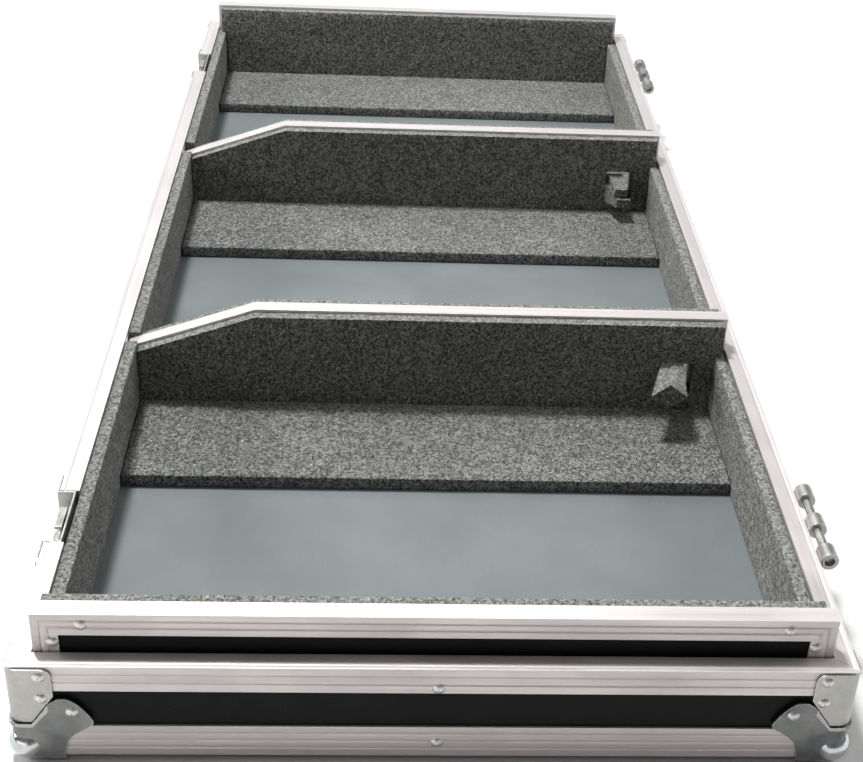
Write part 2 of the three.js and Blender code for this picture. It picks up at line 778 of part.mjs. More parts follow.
// Foam along the front and rear of each bay, and the two pads on its floor
function build_bay_foam() {
  const bays = [
    ["left", -raised_x, -divider_x], ["middle", -divider_x, divider_x], ["right", divider_x, raised_x],
  ];
  const strips = [["front", -side_foam_out, -side_foam_in], ["rear", side_foam_in, side_foam_out]];
  for (const [bay, x0, x1] of bays) {
    const low = x0 + foam_near;
    const high = x1 - foam_near;
    for (const [side, y0, y1] of strips) {
      const short = bay === "left" && side === "front" ? left_foam_short : 0;
      add(`${side}_foam_${bay}_bay`, box(low, high - short, y0, y1, wall_low, side_foam_top), foam);
    }
    const first = x0 + foam_far + seat_gap;
    const last = x1 - foam_far - seat_gap;
    const pads = [["far", first, first + pad_reach], ["near", last - other_pad_reach, last]];
    for (const [place, a, b] of pads) {
      const pad = box(a, b, -cross_foam_half, cross_foam_half, wall_low, pad_top);
      add(`floor_pad_${bay}_bay_${place}`, pad, foam);
    }
  }
}

// Hinge halves that a lid slides off: a riveted leaf, three knuckles and the pin fixed in them
function build_hinges() {
  const leaf_y = half_depth + seat_gap;
  const axis_y = leaf_y + knuckle_r;
  const axis_z = rim_height;
  const half = hinge_length / 2;
  const leaf_low = rim_height - hinge_leaf_drop;
  const leaf_top = axis_z - knuckle_r - hinge_top_clear;
  const starts = [-half, -knuckle_length / 2, half - knuckle_length];
  const rivet_z = leaf_low + hardware_rivet_in;
  const rivet_x = half - hardware_rivet_in;
  for (const [name, x] of [["left", -hardware_x], ["right", hardware_x]]) {
    const plate = rounded_rect(x - half, x + half, leaf_low, leaf_top, hinge_round);
    const leaf = (x0, x1, z1) => box(x0, x1, leaf_y, leaf_y + hinge_leaf_t, leaf_top - hinge_round, z1);
    const parts = [along_y(plate, leaf_y, leaf_y + hinge_leaf_t), leaf(x - half, x + half, leaf_top)];
    for (const start of starts) {
      const x0 = x + start;
      const x1 = x0 + knuckle_length;
      parts.push(leaf(x0, x1, axis_z), rod_x(knuckle_r, x0, x1, axis_y, axis_z));
    }
    for (const at of [-rivet_x, 0, rivet_x]) {
      parts.push(rivet_on_y(x + at, leaf_y + hinge_leaf_t, rivet_z, 1));
    }
    parts.push(rod_x(hinge_pin_r, x - half, x + half, axis_y, axis_z));
    const mouth = rod_x(knuckle_bore_r, x + half - hinge_pin_recess, x + half + overrun, axis_y, axis_z);
    add(`hinge_leaf_${name}`, geometry_of(without(joined(...parts), mouth)), zinc);
  }
}

// Latch halves in the front wall: a dish, a turning hub, a folding wing and a lifting hook
function build_latches() {
  const back = ply_in_y + dish_t;
  const face_in = half_depth + seat_gap;
  const face_out = face_in + dish_t;
  const hub_back = back + seat_gap;
  const hook_back = hub_back + hub_back_collar_t + seat_gap;
  const collar_back = hook_back + hook_t + seat_gap;
  const collar_front = collar_back + hub_collar_t;
  const pin_y = collar_front + seat_gap + wing_knuckle_r;
  const block_front = pin_y + wing_knuckle_r;
  const bend_x = pocket_half - pocket_round;
  const bend_z = pocket_floor + pocket_round;
  const pocket = (x, grow, top) => [
    [x + pocket_half + grow, top], [x - pocket_half - grow, top],
    ...arc(x - bend_x, bend_z, pocket_round + grow, -Math.PI, -Math.PI / 2),
    ...arc(x + bend_x, bend_z, pocket_round + grow, -Math.PI / 2, 0),
  ];
  const rivets_z = [dish_low + hardware_rivet_in, rim_height - hardware_rivet_in];
  const wing_open = hub_block_half + wing_gap;
  const knuckle_end = wing_open + wing_knuckle_length;
  for (const [name, x] of [["left", -hardware_x], ["right", hardware_x]]) {
    const flange = rounded_rect(x - dish_width / 2, x + dish_width / 2, dish_low, rim_height, dish_round);
    const heads = [-1, 1].flatMap((side) => rivets_z.map(
      (z) => rivet_on_y(x + side * (dish_width / 2 - hardware_rivet_in), -face_out, z, -1)));
    const shell = joined(
      along_y(flange, -face_out, -face_in),
      along_y(pocket(x, dish_t, rim_height), -face_out, -ply_in_y),
      ...heads);
    const hollow = along_y(pocket(x, 0, rim_height + overrun), -face_out - overrun, -back);
    add(`latch_dish_${name}`, geometry_of(without(shell, hollow)), zinc);

    const hub = joined(
      rod_y(hub_shaft_r, -collar_front, -hub_back, x, hub_z),
      rod_y(hub_back_collar_r, -hub_back - hub_back_collar_t, -hub_back, x, hub_z),
      rod_y(hub_collar_r, -collar_front, -collar_back, x, hub_z),
      box(x - hub_block_half, x + hub_block_half, -block_front, -collar_back,
        hub_z - hub_block_rise, hub_z + hub_block_rise),
      rod_x(wing_pin_r, x - knuckle_end, x + knuckle_end, -pin_y, hub_z));
    add(`latch_hub_${name}`, geometry_of(hub), zinc);

    const right_half = wing_shares.map(([a, b]) => [a * wing_half, b * wing_half]);
    const left_half = [...right_half].reverse().map(([a, b]) => [-a, b]);
    const edge_z = right_half[0][1];
    const plate = [
      [wing_open, edge_z], ...right_half, ...left_half, [-wing_open, edge_z],
      [-wing_open, -wing_bridge], [wing_open, -wing_bridge],
    ].map(([a, b]) => [x + a, hub_z + b]);
    const wing = joined(
      along_y(plate, -pin_y - wing_t / 2, -pin_y + wing_t / 2),
      rod_x(wing_knuckle_r, x - knuckle_end, x - wing_open, -pin_y, hub_z),
      rod_x(wing_knuckle_r, x + wing_open, x + knuckle_end, -pin_y, hub_z));
    const bore_end = knuckle_end + seat_gap;
    const bore = rod_x(wing_bore_r, x - bore_end, x + bore_end, -pin_y, hub_z);
    add(`latch_wing_${name}`, geometry_of(without(wing, bore)), zinc);

    const slot_half = hub_shaft_r + hook_slot_gap;
    const slot_low = hub_z - hook_travel - slot_half;
    const hook_top = rim_height - hook_top_drop;
    const plate_hook = box(x - hook_half, x + hook_half, -hook_back - hook_t, -hook_back,
      slot_low - hook_tail, hook_top);
    const lip = box(x - hook_half, x + hook_half, -hook_back - hook_t - hook_lip, -hook_back,
      hook_top - hook_lip_t, hook_top);
    const slot_round = hub_shaft_r - seat_gap;
    const slot = rounded_rect(x - slot_half, x + slot_half, slot_low, hub_z + slot_half, slot_round);
    const slot_tool = along_y(slot, -hook_back - hook_t - overrun, -hook_back + overrun);
    add(`latch_hook_${name}`, geometry_of(without(joined(plate_hook, lip), slot_tool)), zinc);
  }
}

build_shell();
build_edging();
build_braces();
build_balls();
build_raised_walls();
build_dividers();
build_cross_foam();
build_bay_foam();
build_hinges();
build_latches();

export default group;
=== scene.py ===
# Base tray of a long road case with three foam-lined bays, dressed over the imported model.
# Metres. +X runs along the case, -Y is the front with the latches, +Z is up.
import json
import math

import bmesh
import bpy
from mathutils import Matrix, Vector

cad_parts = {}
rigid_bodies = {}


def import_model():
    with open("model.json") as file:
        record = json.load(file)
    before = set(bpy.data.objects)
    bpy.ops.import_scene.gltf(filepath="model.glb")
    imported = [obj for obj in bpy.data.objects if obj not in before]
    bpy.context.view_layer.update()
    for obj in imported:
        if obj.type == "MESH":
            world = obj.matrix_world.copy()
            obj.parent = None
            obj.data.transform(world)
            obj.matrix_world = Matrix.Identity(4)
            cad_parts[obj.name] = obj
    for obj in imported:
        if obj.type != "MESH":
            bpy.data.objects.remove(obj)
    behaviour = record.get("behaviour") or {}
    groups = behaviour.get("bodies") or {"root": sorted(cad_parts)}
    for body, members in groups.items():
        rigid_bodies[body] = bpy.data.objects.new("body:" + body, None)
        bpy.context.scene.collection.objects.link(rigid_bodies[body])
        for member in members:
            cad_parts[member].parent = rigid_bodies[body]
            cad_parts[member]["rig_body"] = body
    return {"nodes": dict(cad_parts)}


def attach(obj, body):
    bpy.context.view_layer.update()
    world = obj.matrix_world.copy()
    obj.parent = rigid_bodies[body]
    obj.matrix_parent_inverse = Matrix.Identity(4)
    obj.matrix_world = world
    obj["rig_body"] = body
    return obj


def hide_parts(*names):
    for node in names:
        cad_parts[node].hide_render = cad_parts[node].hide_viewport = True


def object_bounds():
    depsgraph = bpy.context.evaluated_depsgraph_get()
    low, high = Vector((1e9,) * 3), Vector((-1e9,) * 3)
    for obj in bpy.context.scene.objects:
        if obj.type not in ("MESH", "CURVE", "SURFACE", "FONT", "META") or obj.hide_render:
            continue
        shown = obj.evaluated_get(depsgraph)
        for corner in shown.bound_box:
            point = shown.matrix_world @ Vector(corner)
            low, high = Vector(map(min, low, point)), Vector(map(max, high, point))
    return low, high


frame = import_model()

cad_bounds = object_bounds()
mm = 0.001
BAYS = ("left", "middle", "right")
ENDS = ("left", "right")
SIDES = ("front", "rear")

# Outside of the case's plywood corner, over its edging
CASE_X = 572.5 * mm
CASE_Y = 245 * mm

# Worked copies: corners nearer than this are one, and faces that turn less than this are flat
MERGE_REACH = 0.002 * mm
FLAT_TURN = math.radians(0.4)

# Rounding of edges, and the turn in degrees that counts as an edge
FLOOR_ROUND = 0.4 * mm
WALL_ROUND = 0.35 * mm
BAR_ROUND = 0.22 * mm
FITTING_ROUND = 0.2 * mm
HARD_TURN = 50
BAR_SMOOTH = 32
FITTING_SMOOTH = 35

# How far the faces of the fittings stand off the case, and what marks out a rivet head on them
STEEL_PROUD = 1.45 * mm
LEAF_PROUD = 1.75 * mm
CAP_HEAD_HEIGHT = 1.5 * mm
HEAD_CLEAR = 0.1 * mm
HEAD_REACH = 5 * mm
HEAD_TOP = 95 * mm
LOBE_HEAD_LOW = 28 * mm
HEAD_FACE_AREA = 12 * mm * mm
HEAD_FACES = 12

# Domed rivet head
DOME_RADIUS = 5.1 * mm
DOME_HEIGHT = 1.62 * mm
DOME_SUNK = 0.1 * mm
DOME_SMOOTH = 40
DIMPLE_REACH = 0.7 * mm
DIMPLE_UP = 0.97
DIMPLE_RIM = 0.12 * mm
DIMPLE_DEPTH = 0.35 * mm

# Ball corners
BALL_R = 11.4 * mm
BALL_IN = 6.8 * mm
BALL_UP = 4.4 * mm
BALL_CUT = 3.5 * mm
BALL_CUT_RISE = 0.55
BALL_SMOOTH = 50
PLATE_REACH = 1.6 * mm

# Foam
FOAM_ROUND = 0.8 * mm
FOAM_STEP = 8 * mm
FOAM_WAVER = 0.8 * mm
FOAM_SMOOTH = 60
WAVER_SIZE = 0.016
WAVER_LEVEL = 0.75


# Working with one object at a time

def alone(piece):
    bpy.ops.object.select_all(action="DESELECT")
    piece.select_set(True)
    bpy.context.view_layer.objects.active = piece


def edit(piece, mode="FACE"):
    alone(piece)
    bpy.ops.object.mode_set(mode="EDIT")
    bpy.ops.mesh.select_mode(type=mode)


def leave_edit():
    bpy.ops.object.mode_set(mode="OBJECT")


def pick_faces(piece, wanted):
    """Select in edit mode only the faces for which wanted(centre, normal) is true."""
    edit(piece)
    bpy.ops.mesh.select_all(action="DESELECT")
    mesh = bmesh.from_edit_mesh(piece.data)
    for face in mesh.faces:
        face.select_set(bool(wanted(face.calc_center_median(), face.normal)))
    bmesh.update_edit_mesh(piece.data)


def settle(piece):
    """Put a piece's place into its mesh."""
    alone(piece)
    bpy.ops.object.transform_apply(location=True, rotation=True, scale=True)


def apply_all(piece):
    alone(piece)
    for modifier in list(piece.modifiers):
        bpy.ops.object.modifier_apply(modifier=modifier.name)


def round_edges(piece, width, segments=2, angle=40):
    bevel = piece.modifiers.new("round", "BEVEL")
    bevel.width = width
    bevel.segments = segments
    bevel.limit_method = "ANGLE"
    bevel.angle_limit = math.radians(angle)
    bevel.harden_normals = False
    apply_all(piece)


def smooth(piece, angle=38, flat=True):
    """Shade a piece smooth up to an angle, with its flat faces kept flat."""
    alone(piece)
    bpy.ops.object.shade_smooth_by_angle(angle=math.radians(angle))
    if flat:
        weights = piece.modifiers.new("flat faces", "WEIGHTED_NORMAL")
        weights.keep_sharp = True
        apply_all(piece)


def finish_with(piece, finish):
    piece.data.materials.clear()
    piece.data.materials.append(finish)


def worked_copy(node):
    """A copy of a CAD node with its doubles merged and its flat faces made whole."""
    source = frame["nodes"][node]
    piece = bpy.data.objects.new(node + "_shown", source.data.copy())
    bpy.context.scene.collection.objects.link(piece)
    alone(piece)
    bpy.ops.mesh.customdata_custom_splitnormals_clear()
    edit(piece, "VERT")
    bpy.ops.mesh.select_all(action="SELECT")
    bpy.ops.mesh.remove_doubles(threshold=MERGE_REACH)
    bpy.ops.mesh.dissolve_limited(angle_limit=FLAT_TURN)
    leave_edit()
    return piece


def stands_for(piece, finish, node):
    """The piece takes its finish, rides on the node's body and is shown in its place."""
    finish_with(piece, finish)
    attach(piece, frame["nodes"][node]["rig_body"])
    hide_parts(node)


# Shader node groups. Each reads Object coordinates and puts out masks or values.

def new_group(name, inputs, outputs):
    group = bpy.data.node_groups.new(name, "ShaderNodeTree")
    for label, kind, value in inputs:
        socket = group.interface.new_socket(label, in_out="INPUT", socket_type=kind)
        socket.default_value = value
    for label in outputs:
        group.interface.new_socket(label, in_out="OUTPUT", socket_type="NodeSocketFloat")
    board = Board(group)
    given = board.put("NodeGroupInput").outputs
    made = board.put("NodeGroupOutput").inputs
    return group, board, given, made


class Board:
    """Places and joins nodes in one tree."""

    def __init__(self, tree):
        self.tree = tree

    def put(self, kind, **settings):
        node = self.tree.nodes.new(kind)
        for key, value in settings.items():
            setattr(node, key, value)
        return node

    def join(self, source, target):
        self.tree.links.new(source, target)

    def feed(self, value, socket):
        if isinstance(value, bpy.types.NodeSocket):
            self.join(value, socket)
        else:
            socket.default_value = value

    def place(self):
        return self.put("ShaderNodeTexCoord").outputs["Object"]

    def math(self, what, a, b=0.0, clamp=False):
        node = self.put("ShaderNodeMath", operation=what, use_clamp=clamp)
        self.feed(a, node.inputs[0])
        self.feed(b, node.inputs[1])
        return node.outputs[0]

    def add(self, a, b):
        return self.math("ADD", a, b)

    def less(self, a, b):
        return self.math("SUBTRACT", a, b)

    def times(self, a, b):
        return self.math("MULTIPLY", a, b)

    def noise(self, place, scale, detail=3.0, roughness=0.5):
        node = self.put("ShaderNodeTexNoise")
        self.join(place, node.inputs["Vector"])
        self.feed(scale, node.inputs["Scale"])
        self.feed(detail, node.inputs["Detail"])
        self.feed(roughness, node.inputs["Roughness"])
        return node.outputs["Fac"]

    def stretch(self, value, low, high, new_low=0.0, new_high=1.0):
        node = self.put("ShaderNodeMapRange")
        self.feed(value, node.inputs["Value"])
        self.feed(low, node.inputs["From Min"])
        self.feed(high, node.inputs["From Max"])
        self.feed(new_low, node.inputs["To Min"])
        self.feed(new_high, node.inputs["To Max"])
        return node.outputs["Result"]

    def mix(self, share, a, b):
        node = self.put("ShaderNodeMix", data_type="RGBA")
        self.feed(share, node.inputs["Factor"])
        self.feed(a, node.inputs[6])
        self.feed(b, node.inputs[7])
        return node.outputs[2]

    def tint(self, base, mask, share, colour):
        """Lay a colour over the base where the mask is, by a share."""
        return self.mix(self.times(mask, share), base, colour)

    def group(self, tree, **values):
        node = self.put("ShaderNodeGroup", node_tree=tree)
        for label, value in values.items():
            self.feed(value, node.inputs[label.replace("_", " ")])
        return node.outputs


def rgba(r, g, b):
    return (r, g, b, 1.0)


def make_drawn_lines():
    """Fine lines left by drawing a metal bar through its die, along one axis."""
    group, board, given, made = new_group(
        "drawn lines",
        [("Along", "NodeSocketVector", (1.0, 1.0, 1.0)), ("Fineness", "NodeSocketFloat", 900.0)],
        ["Lines", "Bands"],
    )
    stretched = board.put("ShaderNodeVectorMath", operation="MULTIPLY")
    board.join(board.place(), stretched.inputs[0])
    board.join(given["Along"], stretched.inputs[1])
    fine = board.noise(stretched.outputs[0], given["Fineness"], 4.0, 0.6)
    coarse = board.noise(stretched.outputs[0], 160.0, 2.0, 0.5)
    board.join(board.stretch(fine, 0.3, 0.7), made["Lines"])
    board.join(board.stretch(coarse, 0.35, 0.65), made["Bands"])
    return group


def make_speckle():
    """Round specks of dust or open cells, over a finer grain."""
    group, board, given, made = new_group(
        "speckle",
        [("Size", "NodeSocketFloat", 700.0), ("Share", "NodeSocketFloat", 0.3)],
        ["Specks", "Grain", "Height"],
    )
    place = board.place()
    cells = board.put("ShaderNodeTexVoronoi")
    board.join(place, cells.inputs["Vector"])
    board.join(given["Size"], cells.inputs["Scale"])
    edge = board.times(given["Share"], 1.4)
    specks = board.stretch(cells.outputs["Distance"], edge, 0.0)
    grain = board.noise(place, board.times(given["Size"], 0.8), 4.0, 0.65)
    height = board.add(board.times(cells.outputs["Distance"], 0.6), grain)
    board.join(specks, made["Specks"])
    board.join(board.stretch(grain, 0.3, 0.7), made["Grain"])
    board.join(height, made["Height"])
    return group


def make_scratches():
    """Thin scattered scratches and wider rubbed patches."""
    group, board, given, made = new_group(
        "scratches",
        [("Amount", "NodeSocketFloat", 0.4)],
        ["Scratches", "Rubbed"],
    )
    place = board.place()
    total = 0.0
    for turn, spread in ((0.4, 31.0), (1.7, 43.0), (2.6, 37.0)):
        turned = board.put("ShaderNodeMapping")
        turned.inputs["Rotation"].default_value = (turn * 0.5, turn * 0.3, turn)
        turned.inputs["Scale"].default_value = (0.06, 1.0, 1.0)
        board.join(place, turned.inputs["Vector"])
        lines = board.noise(turned.outputs[0], spread * 14.0, 1.0, 0.4)
        thin = board.math("ABSOLUTE", board.less(lines, 0.5))
        patch = board.stretch(board.noise(place, spread, 1.0, 0.5), 0.56, 0.66)
        line = board.stretch(thin, 0.012, 0.0)
        total = board.add(total, board.times(line, patch))
    kept = board.math("MULTIPLY", total, given["Amount"], clamp=True)
    rubbed = board.stretch(board.noise(place, 14.0, 5.0, 0.6), 0.42, 0.68)
    board.join(kept, made["Scratches"])
    board.join(rubbed, made["Rubbed"])
    return group


def make_worn_edges():
    """A mask of corners that stand proud, broken up by noise."""
    group, board, given, made = new_group(
        "worn edges",
        [("Width", "NodeSocketFloat", 0.0012), ("Amount", "NodeSocketFloat", 1.0)],
        ["Worn"],
    )
    rounded = board.put("ShaderNodeBevel", samples=4)
    board.join(given["Width"], rounded.inputs["Radius"])
    flat = board.put("ShaderNodeNewGeometry").outputs["Normal"]
    facing = board.put("ShaderNodeVectorMath", operation="DOT_PRODUCT")
    board.join(rounded.outputs["Normal"], facing.inputs[0])
    board.join(flat, facing.inputs[1])
    edge = board.stretch(facing.outputs["Value"], 0.98, 0.8)
    broken = board.stretch(board.noise(board.place(), 260.0, 4.0, 0.6), 0.35, 0.6)
    worn = board.math("MULTIPLY", board.times(edge, broken), given["Amount"], clamp=True)
    board.join(worn, made["Worn"])
    return group


DRAWN = make_drawn_lines()
SPECKLE = make_speckle()
SCRATCHES = make_scratches()
WORN = make_worn_edges()


# Materials

def start_material(name, metallic, **sockets):
    material = bpy.data.materials.new(name)
    material.use_nodes = True
    board = Board(material.node_tree)
    shader = material.node_tree.nodes["Principled BSDF"]
    shader.inputs["Metallic"].default_value = metallic
    for label, value in sockets.items():
        shader.inputs[label.replace("_", " ")].default_value = value
    return material, board, shader


def bump(board, shader, height, strength, distance):
    node = board.put("ShaderNodeBump")
    node.inputs["Strength"].default_value = strength
    node.inputs["Distance"].default_value = distance
    board.feed(height, node.inputs["Height"])
    board.join(node.outputs["Normal"], shader.inputs["Normal"])


def drawn_aluminium(name, along):
    """Natural anodised bar, with its drawing lines along one axis."""
    material, board, shader = start_material(name, 0.85)
    lines = board.group(DRAWN, Along=along)
    marks = board.group(SCRATCHES, Amount=0.5)
    worn = board.group(WORN, Width=0.0009, Amount=0.6)
    colour = board.mix(lines["Bands"], rgba(0.64, 0.593, 0.588), rgba(0.73, 0.69, 0.682))
    colour = board.tint(colour, lines["Lines"], 0.22, rgba(0.43, 0.41, 0.42))
    colour = board.tint(colour, marks["Rubbed"], 0.25, rgba(0.5, 0.48, 0.49))
    colour = board.mix(worn["Worn"], colour, rgba(0.92, 0.91, 0.91))
    colour = board.tint(colour, marks["Scratches"], 0.5, rgba(0.4, 0.39, 0.4))
    board.join(colour, shader.inputs["Base Color"])
    rough = board.add(board.times(lines["Lines"], 0.12), 0.42)
    rough = board.add(rough, board.times(marks["Rubbed"], 0.12))
    board.join(rough, shader.inputs["Roughness"])
    bump(board, shader, board.less(lines["Lines"], marks["Scratches"]), 0.18, 0.00008)
    return material


def plated_zinc(name, dark, light, gloss):
    """Zinc plated steel with a mottled passivated skin, scuffed brighter along its edges."""
    material, board, shader = start_material(name, 1.0)
    place = board.place()
    mottle = board.stretch(board.noise(place, 95.0, 5.0, 0.65), 0.35, 0.65)
    cloud = board.stretch(board.noise(place, 38.0, 3.0, 0.6), 0.36, 0.64)
    fine = board.stretch(board.noise(place, 900.0, 3.0, 0.6), 0.3, 0.7)
    marks = board.group(SCRATCHES, Amount=0.7)
    worn = board.group(WORN, Width=0.0011, Amount=0.9)
    colour = board.mix(mottle, dark, light)
    colour = board.tint(colour, cloud, 0.4, rgba(0.4, 0.37, 0.34))
    colour = board.tint(colour, marks["Rubbed"], 0.35, rgba(0.34, 0.37, 0.375))
    colour = board.mix(worn["Worn"], colour, rgba(0.84, 0.86, 0.85))
    colour = board.tint(colour, marks["Scratches"], 0.6, rgba(0.72, 0.74, 0.74))
    board.join(colour, shader.inputs["Base Color"])
    rough = board.add(board.times(mottle, 0.14), gloss)
    rough = board.add(rough, board.times(fine, 0.08))
    board.join(rough, shader.inputs["Roughness"])
    bump(board, shader, board.add(fine, board.times(mottle, 0.5)), 0.15, 0.0001)
    return material


def black_laminate():
    """Near-black board face, lightly grained, with pale scuffs."""
    material, board, shader = start_material("black laminate", 0.0, Specular_IOR_Level=0.12)
    skin = board.group(SPECKLE, Size=2200.0, Share=0.25)
    marks = board.group(SCRATCHES, Amount=0.6)
    worn = board.group(WORN, Width=0.0016, Amount=0.8)
    colour = board.mix(skin["Grain"], rgba(0.0035, 0.0042, 0.004), rgba(0.0075, 0.0086, 0.008))
    colour = board.tint(colour, marks["Scratches"], 0.35, rgba(0.09, 0.09, 0.095))
    colour = board.tint(colour, marks["Rubbed"], 0.2, rgba(0.014, 0.015, 0.017))
    colour = board.tint(colour, worn["Worn"], 0.5, rgba(0.12, 0.1, 0.08))
    board.join(colour, shader.inputs["Base Color"])
    rough = board.add(board.times(marks["Rubbed"], 0.16), 0.4)
    rough = board.add(rough, board.times(skin["Grain"], 0.06))
    board.join(rough, shader.inputs["Roughness"])
    bump(board, shader, skin["Height"], 0.12, 0.00012)
    return material


def grey_floor_sheet():
    """Smooth blue-grey sheet on the floor of the tray."""
    material, board, shader = start_material("grey floor sheet", 0.0, Specular_IOR_Level=0.4)
    cloud = board.stretch(board.noise(board.place(), 9.0, 5.0, 0.55), 0.35, 0.65)
    skin = board.group(SPECKLE, Size=1500.0, Share=0.2)
    marks = board.group(SCRATCHES, Amount=0.5)
    colour = board.mix(cloud, rgba(0.138, 0.156, 0.162), rgba(0.172, 0.194, 0.2))
    colour = board.tint(colour, skin["Grain"], 0.35, rgba(0.11, 0.126, 0.132))
    colour = board.tint(colour, marks["Scratches"], 0.35, rgba(0.3, 0.32, 0.33))
    board.join(colour, shader.inputs["Base Color"])
    rough = board.add(board.times(marks["Rubbed"], 0.12), 0.42)
    board.join(rough, shader.inputs["Roughness"])
    bump(board, shader, skin["Height"], 0.1, 0.0001)
    return material


def painted_top_light(board):
    """A mask of painted light: the foam's upward-facing faces near its upper edge, painted paler than
    its skin as if lit from above.
    """
    seen = board.put("ShaderNodeTexCoord").outputs
    way = board.put("ShaderNodeSeparateXYZ")
    board.join(seen["Normal"], way.inputs[0])
    up = board.stretch(way.outputs["Z"], 0.55, 0.9)
    place = board.put("ShaderNodeSeparateXYZ")
    board.join(seen["Object"], place.inputs[0])
    high = board.stretch(place.outputs["Z"], 0.045, 0.055)
    broken = board.stretch(board.noise(seen["Object"], 300.0, 2.0, 0.6), 0.4, 0.6)
    return board.times(board.times(up, high), broken)


def charcoal_foam():
    """Open-celled foam: dark pores between pale dusty cell walls, with a few bright specks."""
    material, board, shader = start_material(
        "charcoal foam", 0.0, Specular_IOR_Level=0.15, Sheen_Weight=0.1, Sheen_Roughness=0.6)
    place = board.place()
    coarse = board.stretch(board.noise(place, 410.0, 3.0, 0.8), 0.45, 0.565)
    fine = board.stretch(board.noise(place, 900.0, 2.0, 0.7), 0.45, 0.565)
    cloud = board.stretch(board.noise(place, 13.0, 4.0, 0.6), 0.32, 0.68)
    patch = board.stretch(board.noise(place, 95.0, 3.0, 0.7), 0.35, 0.65)
    warm = board.stretch(board.noise(place, 210.0, 2.0, 0.6), 0.4, 0.6)
    dust = board.stretch(board.noise(place, 520.0, 0.0, 0.5), 0.77, 0.81)
    pores = board.group(SPECKLE, Size=430.0, Share=0.24)["Specks"]
    walls = board.add(board.times(coarse, 0.6), board.times(fine, 0.4))
    walls = board.times(walls, board.stretch(patch, 0.0, 1.0, 0.8, 1.12))
    pale = board.mix(cloud, rgba(0.34, 0.353, 0.335), rgba(0.265, 0.276, 0.264))
    pale = board.tint(pale, warm, 0.35, rgba(0.32, 0.285, 0.265))
    colour = board.mix(walls, rgba(0.012, 0.0135, 0.0132), pale)
    colour = board.tint(colour, pores, 0.75, rgba(0.012, 0.013, 0.0128))
    colour = board.tint(colour, dust, 0.7, rgba(0.62, 0.61, 0.57))
    # Painted light: upward-facing foam near its top edge is tinted paler.
    colour = board.tint(colour, painted_top_light(board), 0.3, rgba(0.44, 0.44, 0.4))
    board.join(colour, shader.inputs["Base Color"])
    board.join(board.stretch(fine, 0.0, 1.0, 0.86, 0.97), shader.inputs["Roughness"])
    bump(board, shader, board.less(walls, board.times(pores, 0.7)), 0.7, 0.001)
    return material


def bright_rivet():
    """Domed steel rivet head, brighter than the plate it holds."""
    material, board, shader = start_material("bright rivet", 1.0)
    mottle = board.stretch(board.noise(board.place(), 500.0, 4.0, 0.6), 0.35, 0.65)
    marks = board.group(SCRATCHES, Amount=0.8)
    colour = board.mix(mottle, rgba(0.6, 0.585, 0.58), rgba(0.76, 0.75, 0.74))
    colour = board.tint(colour, marks["Scratches"], 0.5, rgba(0.4, 0.4, 0.41))
    board.join(colour, shader.inputs["Base Color"])
    board.join(board.stretch(mottle, 0.0, 1.0, 0.34, 0.46), shader.inputs["Roughness"])
    bump(board, shader, mottle, 0.1, 0.0001)
    return material


def pale_studio_floor():
    """Matt pale floor for the case to stand on."""
    material, board, shader = start_material("pale studio floor", 0.0, Roughness=0.7)
    tone = board.mix(board.noise(board.place(), 3.0), rgba(0.6, 0.6, 0.595), rgba(0.64, 0.64, 0.635))
    board.join(tone, shader.inputs["Base Color"])
    return material


ALONG_X = drawn_aluminium("aluminium drawn along the case", (0.012, 1.0, 1.0))
ALONG_Y = drawn_aluminium("aluminium drawn across the case", (1.0, 0.012, 1.0))
ZINC = plated_zinc("plated zinc", rgba(0.38, 0.375, 0.355), rgba(0.53, 0.52, 0.5), 0.3)
# Much darker zinc, laid on the pressed plates of the ball corners.
LOBE_ZINC = plated_zinc("darker zinc", rgba(0.08, 0.091, 0.092), rgba(0.18, 0.2, 0.202), 0.34)
BALL_ZINC = plated_zinc("polished zinc", rgba(0.56, 0.6, 0.62), rgba(0.86, 0.89, 0.91), 0.1)
LAMINATE = black_laminate()
FLOOR = grey_floor_sheet()
FOAM = charcoal_foam()
RIVET = bright_rivet()


# Rigid pieces, from worked copies of the CAD nodes

HEADS = []


def head_planes(piece, name):
    """Where the faces that carry a fitting's rivet heads lie, along x and along y."""
    proud = 0.0
    if name.startswith(("corner_brace", "ball_corner", "latch_dish")):
        proud = STEEL_PROUD
    if name.startswith("hinge_leaf"):
        proud = LEAF_PROUD
    plane_x = CASE_X + proud
    if name.startswith("raised_cap"):
        plane_x = max(abs(v.co.x) for v in piece.data.vertices) - CAP_HEAD_HEIGHT
    return (0, plane_x), (1, CASE_Y + proud)


def note_heads(piece, name):
    """Note where a fitting's rivet heads stand, by the small faces beyond the plane they stand on."""
    if name.startswith(("divider_cap", "latch_hub", "latch_wing", "latch_hook")):
        return
    low = LOBE_HEAD_LOW if name.startswith("ball_corner") else cad_bounds[0][2]
    for axis, plane in head_planes(piece, name):
        for face in piece.data.polygons:
            at = face.center.copy()
            beyond = abs(at[axis]) > plane + HEAD_CLEAR
            if not (beyond and low < at.z < HEAD_TOP and face.area < HEAD_FACE_AREA):
                continue
            for head in HEADS:
                if head["axis"] == axis and (head["sum"] / head["count"] - at).length < HEAD_REACH:
                    head["sum"] += at
                    head["count"] += 1
                    break
            else:
                HEADS.append({"axis": axis, "plane": plane, "sum": at, "count": 1})


